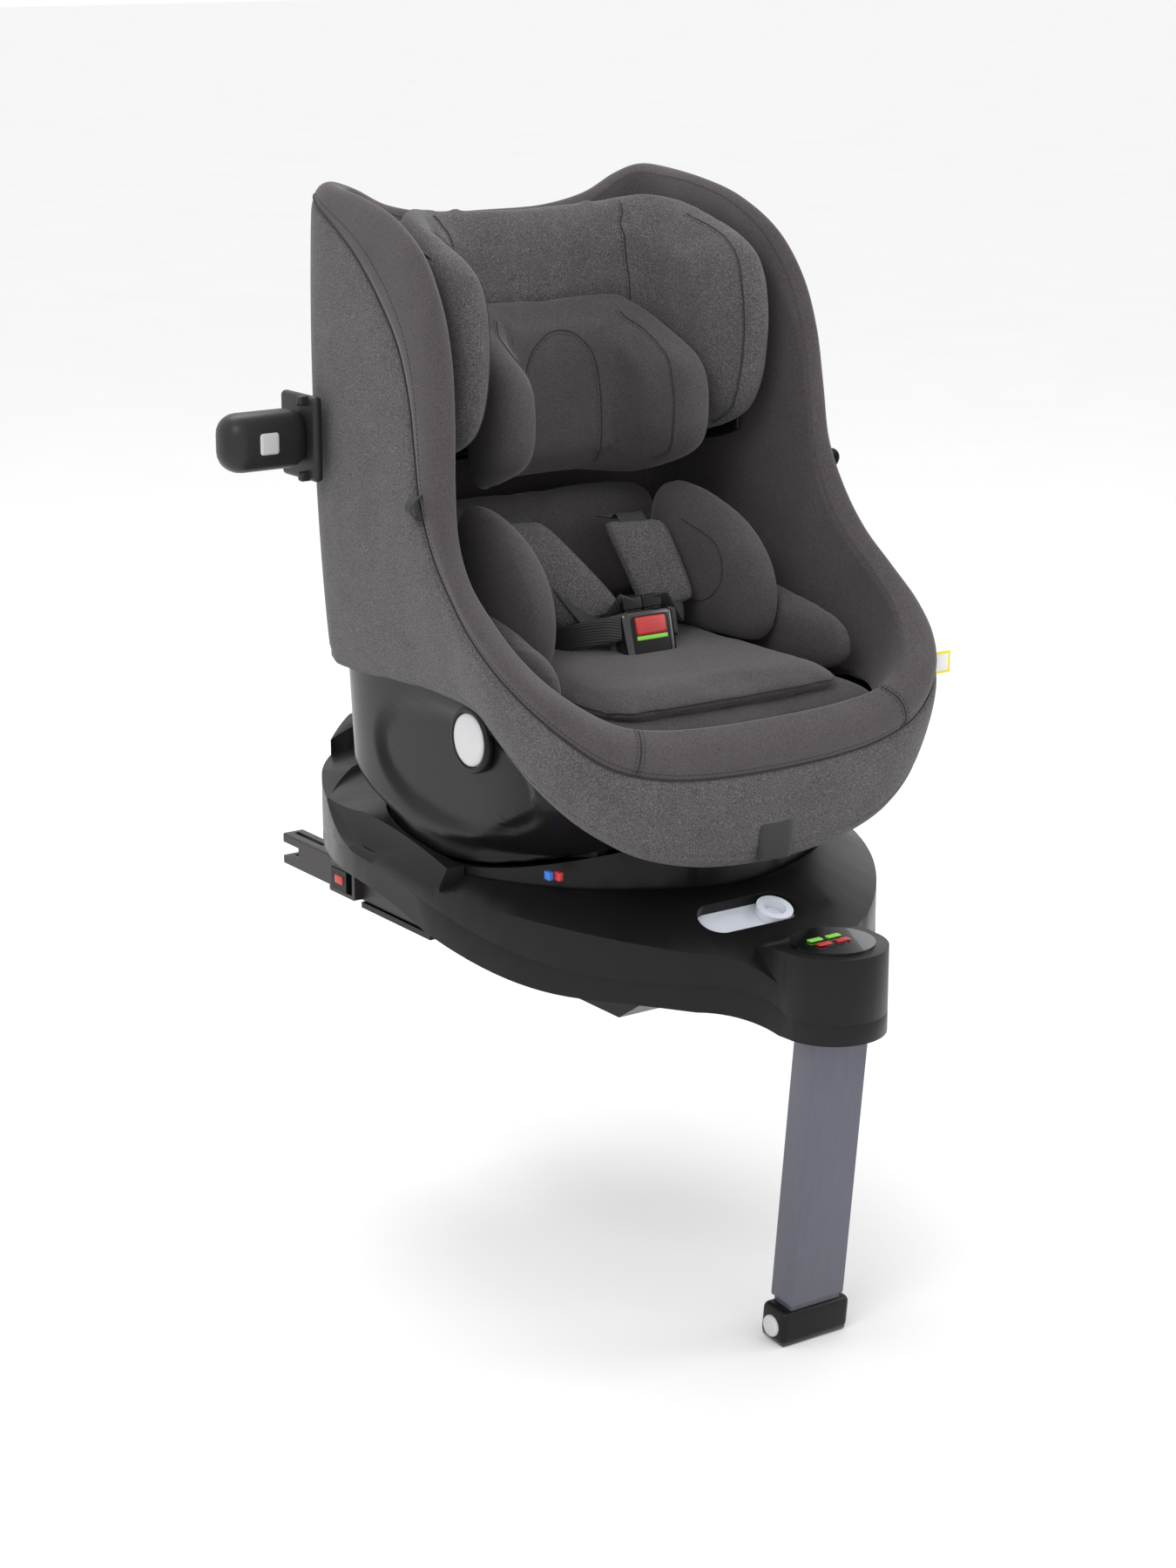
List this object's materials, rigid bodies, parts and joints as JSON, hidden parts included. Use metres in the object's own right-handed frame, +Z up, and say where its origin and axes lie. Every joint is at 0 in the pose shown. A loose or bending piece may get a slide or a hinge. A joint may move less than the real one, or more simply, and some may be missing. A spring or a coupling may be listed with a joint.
{
  "type": "convertible car seat",
  "caption": "Swivelling convertible child car seat on an anchor-arm base with a support leg, padded shell, adjustable headrest, harness and fold-out side pods.",
  "frame": {"origin": "on the swivel axis, level with the base's flat underside", "axes": "+Z up, -Y where a forward-facing child looks, +X the child's left"},
  "size_m": [0.596, 0.739, 1.0028],
  "materials": {
    "outer_fabric": "melange weave",
    "trim_fabric": "smooth brushed knit",
    "pad_fabric": "soft brushed knit",
    "lining_foam": "soft lining",
    "webbing": "woven webbing",
    "tag_fabric": "printed tape without text",
    "black_plastic": "fine satin texture",
    "pod_plastic": "satin",
    "gloss_black": "gloss",
    "light_plastic": "satin",
    "ring_plastic": "gloss",
    "red_plastic": "gloss",
    "steel": "brushed",
    "arm_steel": "satin dark coat",
    "leg_paint": "fine satin"
  },
  "bodies": {
    "base": {"base_tray": "black_plastic", "base_deck": "black_plastic", "base_screws": "steel", "fixed_race": "black_plastic", "slot_plate": "ring_plastic", "indicator_panel": "gloss_black", "indicator_windows": "gloss_black", "leg_pivot_pin": "steel", "isofix_guides": "black_plastic"},
    "orientation_ring": {"orientation_ring": "ring_plastic"},
    "leg_upper": {"leg_tube_upper": "leg_paint", "leg_hinge_block": "black_plastic"},
    "leg_lower": {"leg_tube_lower": "leg_paint", "leg_foot": "black_plastic"},
    "turntable": {"turntable_carriage": "black_plastic", "turning_race": "steel", "recline_rails": "steel"},
    "recline_lever": {"recline_lever": "black_plastic"},
    "seat": {"lower_shell": "black_plastic", "seat_shell": "black_plastic", "shell_cover": "outer_fabric", "rim_trim": "trim_fabric", "inner_lining": "lining_foam", "seat_cushion": "pad_fabric", "seat_insert": "pad_fabric", "bolster_left": "pad_fabric", "bolster_right": "pad_fabric", "back_pad": "pad_fabric", "shoulder_straps": "webbing", "shoulder_pad_left": "pad_fabric", "shoulder_pad_right": "pad_fabric", "lap_straps": "webbing", "crotch_strap": "webbing", "crotch_pad": "pad_fabric", "buckle_body": "black_plastic", "buckle_tongues": "steel", "front_strap": "webbing", "side_loops": "webbing", "side_tag": "tag_fabric", "pod_sockets": "pod_plastic"},
    "headrest": {"headrest_shell": "black_plastic", "headrest_pad": "outer_fabric", "head_insert": "pad_fabric", "headrest_guides": "steel"},
    "headrest_lever": {"headrest_lever": "black_plastic"},
    "buckle_button": {"buckle_button": "red_plastic"},
    "isofix_left": {"isofix_arm_left": "arm_steel"},
    "isofix_release_left": {"isofix_release_left": "black_plastic"},
    "isofix_hook_left": {"isofix_hook_left": "steel"},
    "foot_button_left": {"foot_button_left": "light_plastic"},
    "spin_button_left": {"spin_button_left": "light_plastic"},
    "pod_left": {"pod_left": "pod_plastic"},
    "pod_button_left": {"pod_button_left": "light_plastic"},
    "isofix_right": {"isofix_arm_right": "arm_steel"},
    "isofix_release_right": {"isofix_release_right": "black_plastic"},
    "isofix_hook_right": {"isofix_hook_right": "steel"},
    "foot_button_right": {"foot_button_right": "light_plastic"},
    "spin_button_right": {"spin_button_right": "light_plastic"},
    "pod_right": {"pod_right": "pod_plastic"},
    "pod_button_right": {"pod_button_right": "light_plastic"}
  },
  "joints": [
    {"name": "swivel", "type": "hinge", "parent": "base", "child": "turntable", "pos_m": [0, 0, 0], "axis": [0, 0, 1], "continuous": true},
    {"name": "recline", "type": "hinge", "parent": "turntable", "child": "seat", "pos_m": [0, -0.02, 0.56], "axis": [-1, 0, 0], "range_deg": [0, 18]},
    {"name": "recline_lever", "type": "hinge", "parent": "turntable", "child": "recline_lever", "pos_m": [0, -0.21, 0.145], "axis": [-1, 0, 0], "range_deg": [0, 15], "stiffness_Nm_per_rad": 2},
    {"name": "leg_fold", "type": "hinge", "parent": "base", "child": "leg_upper", "pos_m": [0, -0.345, 0.04], "axis": [1, 0, 0], "range_deg": [0, 84]},
    {"name": "leg_extend", "type": "slide", "parent": "leg_upper", "child": "leg_lower", "axis": [0, 0.1045, -0.9945], "range_m": [0, 0.14]},
    {"name": "ring_slide", "type": "slide", "parent": "base", "child": "orientation_ring", "axis": [-1, 0, 0], "range_m": [0, 0.046]},
    {"name": "headrest_height", "type": "slide", "parent": "seat", "child": "headrest", "axis": [0, 0, 1], "range_m": [0, 0.13]},
    {"name": "headrest_lever", "type": "slide", "parent": "headrest", "child": "headrest_lever", "axis": [0, 0, 1], "range_m": [0, 0.008], "stiffness_N_per_m": 300},
    {"name": "buckle_button", "type": "slide", "parent": "seat", "child": "buckle_button", "axis": [0, 1, 0], "range_m": [0, 0.004], "stiffness_N_per_m": 300},
    {"name": "foot_button_left", "type": "slide", "parent": "leg_lower", "child": "foot_button_left", "axis": [-1, 0, 0], "range_m": [0, 0.003], "stiffness_N_per_m": 300},
    {"name": "foot_button_right", "type": "slide", "parent": "leg_lower", "child": "foot_button_right", "axis": [1, 0, 0], "range_m": [0, 0.003], "stiffness_N_per_m": 300},
    {"name": "spin_button_left", "type": "slide", "parent": "seat", "child": "spin_button_left", "axis": [-1, 0, 0], "range_m": [0, 0.005], "stiffness_N_per_m": 300},
    {"name": "spin_button_right", "type": "slide", "parent": "seat", "child": "spin_button_right", "axis": [1, 0, 0], "range_m": [0, 0.005], "stiffness_N_per_m": 300},
    {"name": "pod_left", "type": "hinge", "parent": "seat", "child": "pod_left", "pos_m": [0.238, 0.132, 0.48], "axis": [0, 0, 1], "range_deg": [0, 90]},
    {"name": "pod_right", "type": "hinge", "parent": "seat", "child": "pod_right", "pos_m": [-0.238, 0.132, 0.48], "axis": [0, 0, 1], "range_deg": [0, 90]},
    {"name": "pod_button_left", "type": "slide", "parent": "pod_left", "child": "pod_button_left", "axis": [1, 0, 0], "range_m": [0, 0.003], "stiffness_N_per_m": 300},
    {"name": "pod_button_right", "type": "slide", "parent": "pod_right", "child": "pod_button_right", "axis": [0, 1, 0], "range_m": [0, 0.003], "stiffness_N_per_m": 300},
    {"name": "isofix_slide_left", "type": "slide", "parent": "base", "child": "isofix_left", "axis": [0, 1, 0], "range_m": [0, 0.1]},
    {"name": "isofix_release_left", "type": "slide", "parent": "isofix_left", "child": "isofix_release_left", "axis": [0, -1, 0], "range_m": [0, 0.008], "stiffness_N_per_m": 300},
    {"name": "isofix_hook_left", "type": "hinge", "parent": "isofix_left", "child": "isofix_hook_left", "pos_m": [0.14, 0.288, 0.039], "axis": [1, 0, 0], "range_deg": [0, 20]},
    {"name": "isofix_slide_right", "type": "slide", "parent": "base", "child": "isofix_right", "axis": [0, 1, 0], "range_m": [0, 0.1]},
    {"name": "isofix_release_right", "type": "slide", "parent": "isofix_right", "child": "isofix_release_right", "axis": [0, -1, 0], "range_m": [0, 0.008], "stiffness_N_per_m": 300},
    {"name": "isofix_hook_right", "type": "hinge", "parent": "isofix_right", "child": "isofix_hook_right", "pos_m": [-0.14, 0.288, 0.039], "axis": [1, 0, 0], "range_deg": [0, 20]}
  ],
  "couplings": [
    {"joint": "isofix_hook_left", "follows": "isofix_release_left", "rad_per_m": 43.6},
    {"joint": "isofix_hook_right", "follows": "isofix_release_right", "rad_per_m": 43.6}
  ]
}
